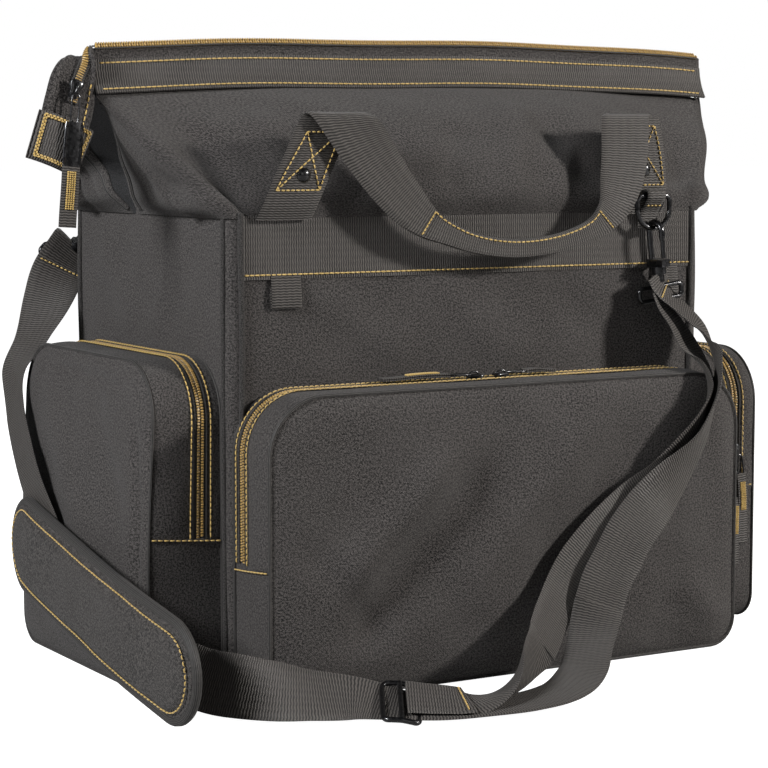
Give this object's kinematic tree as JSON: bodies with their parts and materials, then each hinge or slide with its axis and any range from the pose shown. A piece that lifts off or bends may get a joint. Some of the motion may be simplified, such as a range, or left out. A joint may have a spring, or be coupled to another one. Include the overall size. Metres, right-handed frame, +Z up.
{
  "type": "garden tool bag",
  "caption": "Soft-sided tool bag with a zipped hood, three zipped outside pockets, two webbing carry handles and a padded shoulder strap clipped to D-rings.",
  "frame": {"origin": "centre of the main compartment's flat underside", "axes": "+Z up, +X to the bag's right seen from the front, -Y towards the front pocket"},
  "size_m": [0.6323, 0.4857, 0.4796],
  "materials": {
    "polyester": "woven polyester, plain weave, lightly sheened",
    "lining": "thin woven lining",
    "base_fabric": "coated hard-wearing polyester",
    "piping": "covered cord piping",
    "pad_cover": "padded woven polyester with a bound edge",
    "webbing": "ribbed polypropylene webbing",
    "pull_tape": "narrow ribbed tape on a black metal pull",
    "yellow_coil": "golden yellow nylon coil and thread",
    "black_metal": "black nickel plated steel, glossy",
    "base_board": "plain stiffening board"
  },
  "bodies": {
    "bag": {"front_panel": "polyester", "rear_panel": "polyester", "left_panel": "polyester", "right_panel": "polyester", "base_panel": "base_fabric", "base_board": "base_board", "corner_piping": "piping", "rim_bands": "webbing", "tape_tabs": "webbing", "inner_pockets": "lining", "hood_skirt": "polyester", "hood_gussets": "polyester", "handle_anchors": "webbing", "handle_rivets": "black_metal", "ring_keepers": "webbing", "top_zip_tail": "webbing", "front_pocket_tray": "polyester", "front_pocket_gusset": "polyester", "left_pocket_tray": "polyester", "left_pocket_gusset": "polyester", "right_pocket_tray": "polyester", "right_pocket_gusset": "polyester", "pocket_teeth": "yellow_coil", "strap_floor": "webbing"},
    "hood_front": {"top_flap_front": "polyester", "top_teeth_front": "yellow_coil"},
    "hood_rear": {"top_flap_rear": "polyester", "top_teeth_rear": "yellow_coil"},
    "top_slider": {"top_slider": "black_metal"},
    "top_pull": {"top_pull": "pull_tape"},
    "front_lid": {"front_pocket_lid": "polyester", "front_lid_teeth": "yellow_coil"},
    "left_lid": {"left_pocket_lid": "polyester", "left_lid_teeth": "yellow_coil"},
    "right_lid": {"right_pocket_lid": "polyester", "right_lid_teeth": "yellow_coil"},
    "front_slider_left": {"front_slider_left": "black_metal"},
    "front_pull_left": {"front_pull_left": "pull_tape"},
    "front_slider_right": {"front_slider_right": "black_metal"},
    "front_pull_right": {"front_pull_right": "pull_tape"},
    "right_slider_upper": {"right_slider_upper": "black_metal"},
    "right_pull_upper": {"right_pull_upper": "pull_tape"},
    "right_slider_lower": {"right_slider_lower": "black_metal"},
    "right_pull_lower": {"right_pull_lower": "pull_tape"},
    "left_slider": {"left_slider": "black_metal"},
    "left_pull": {"left_pull": "pull_tape"},
    "handle_front": {"handle_front": "webbing"},
    "handle_rear": {"handle_rear": "webbing"},
    "strap_front": {"ring_front": "black_metal", "swivel_front": "black_metal", "strap_front": "webbing"},
    "hook_front": {"hook_front": "black_metal"},
    "gate_front": {"gate_front": "black_metal"},
    "ring_rear": {"ring_rear": "black_metal"},
    "strap_rear": {"swivel_rear": "black_metal", "strap_rear": "webbing", "shoulder_pad": "pad_cover"},
    "hook_rear": {"hook_rear": "black_metal"},
    "gate_rear": {"gate_rear": "black_metal"},
    "triglide": {"triglide": "black_metal"}
  },
  "joints": [
    {"name": "hood_front_fold", "type": "hinge", "parent": "bag", "child": "hood_front", "pos_m": [0, -0.141, 0.412], "axis": [1, 0, 0], "range_deg": [0, 64]},
    {"name": "hood_rear_fold", "type": "hinge", "parent": "bag", "child": "hood_rear", "pos_m": [0, 0.141, 0.412], "axis": [-1, 0, 0], "range_deg": [0, 75]},
    {"name": "top_slider_run", "type": "slide", "parent": "bag", "child": "top_slider", "axis": [-0.3637, -0.0606, -0.9295], "range_m": [-0.006, 0.03]},
    {"name": "top_pull_swing", "type": "hinge", "parent": "top_slider", "child": "top_pull", "pos_m": [-0.303, -0.071, 0.445], "axis": [-1, 0, 0], "range_deg": [0, 100]},
    {"name": "front_lid_fold", "type": "hinge", "parent": "bag", "child": "front_lid", "pos_m": [0, -0.197, 0.0952], "axis": [1, 0, 0], "range_deg": [0, 40]},
    {"name": "left_lid_fold", "type": "hinge", "parent": "bag", "child": "left_lid", "pos_m": [-0.276, 0, 0.1152], "axis": [0, -1, 0], "range_deg": [0, 40]},
    {"name": "right_lid_fold", "type": "hinge", "parent": "bag", "child": "right_lid", "pos_m": [0.289, 0, 0.1152], "axis": [0, 1, 0], "range_deg": [0, 80]},
    {"name": "front_slider_left_run", "type": "slide", "parent": "front_lid", "child": "front_slider_left", "axis": [-1, 0, 0], "range_m": [0, 0.1]},
    {"name": "front_pull_left_swing", "type": "hinge", "parent": "front_slider_left", "child": "front_pull_left", "pos_m": [-0.018, -0.155, 0.2279], "axis": [0, 1, 0], "range_deg": [0, 115]},
    {"name": "front_slider_right_run", "type": "slide", "parent": "front_lid", "child": "front_slider_right", "axis": [1, 0, 0], "range_m": [0, 0.06]},
    {"name": "front_pull_right_swing", "type": "hinge", "parent": "front_slider_right", "child": "front_pull_right", "pos_m": [0.018, -0.155, 0.2279], "axis": [0, -1, 0], "range_deg": [0, 115]},
    {"name": "right_slider_upper_run", "type": "slide", "parent": "bag", "child": "right_slider_upper", "axis": [0, 0, 1], "range_m": [0, 0.03]},
    {"name": "right_pull_upper_swing", "type": "hinge", "parent": "right_slider_upper", "child": "right_pull_upper", "pos_m": [0.277, -0.1333, 0.1449], "axis": [-1, 0, 0], "range_deg": [0, 95]},
    {"name": "right_slider_lower_run", "type": "slide", "parent": "bag", "child": "right_slider_lower", "axis": [0, 0, 1], "range_m": [-0.004, 0.005]},
    {"name": "right_pull_lower_swing", "type": "hinge", "parent": "right_slider_lower", "child": "right_pull_lower", "pos_m": [0.267, -0.1323, 0.1249], "axis": [-1, 0, 0], "range_deg": [0, 95]},
    {"name": "left_slider_run", "type": "slide", "parent": "bag", "child": "left_slider", "axis": [0, 0, 1], "range_m": [0, 0.06]},
    {"name": "left_pull_swing", "type": "hinge", "parent": "left_slider", "child": "left_pull", "pos_m": [-0.234, 0.1223, 0.1269], "axis": [1, 0, 0], "range_deg": [0, 95]},
    {"name": "handle_front_lift", "type": "hinge", "parent": "bag", "child": "handle_front", "pos_m": [0, -0.151, 0.43], "axis": [-1, 0, 0], "range_deg": [0, 150]},
    {"name": "handle_rear_lift", "type": "hinge", "parent": "bag", "child": "handle_rear", "pos_m": [0, 0.151, 0.43], "axis": [1, 0, 0], "range_deg": [0, 150]},
    {"name": "strap_front_swing", "type": "hinge", "parent": "bag", "child": "strap_front", "pos_m": [0.158, -0.155, 0.364], "axis": [-1, 0, 0], "range_deg": [0, 24]},
    {"name": "hook_front_swivel", "type": "hinge", "parent": "strap_front", "child": "hook_front", "pos_m": [0.15995, -0.155, 0.33812], "axis": [-0.1219, 0, 0.9925], "range_deg": [-12, 12]},
    {"name": "gate_front_press", "type": "hinge", "parent": "hook_front", "child": "gate_front", "pos_m": [0.16287, -0.163, 0.3143], "axis": [-0.9925, 0, -0.1219], "range_deg": [0, 20], "stiffness_Nm_per_rad": 0.02, "springref_deg": -17.19},
    {"name": "ring_rear_swing", "type": "hinge", "parent": "bag", "child": "ring_rear", "pos_m": [-0.176, 0.155, 0.364], "axis": [1, 0, 0], "range_deg": [-3, 3]},
    {"name": "strap_rear_swing", "type": "hinge", "parent": "bag", "child": "strap_rear", "pos_m": [-0.176, 0.155, 0.354], "axis": [0, 1, 0], "range_deg": [0, 24]},
    {"name": "hook_rear_swivel", "type": "hinge", "parent": "strap_rear", "child": "hook_rear", "pos_m": [-0.18731, 0.155, 0.34269], "axis": [0.7071, 0, 0.7071], "range_deg": [-12, 12]},
    {"name": "gate_rear_press", "type": "hinge", "parent": "hook_rear", "child": "gate_rear", "pos_m": [-0.20428, 0.147, 0.32572], "axis": [-0.7071, 0, 0.7071], "range_deg": [0, 20], "stiffness_Nm_per_rad": 0.02, "springref_deg": -17.19},
    {"name": "triglide_run", "type": "slide", "parent": "bag", "child": "triglide", "axis": [0.9901, -0.14, 0], "range_m": [-0.015, 0.015]}
  ],
  "couplings": [
    {"joint": "strap_front_swing", "follows": "front_lid_fold", "ratio": 0.6},
    {"joint": "strap_rear_swing", "follows": "left_lid_fold", "ratio": 0.6}
  ]
}
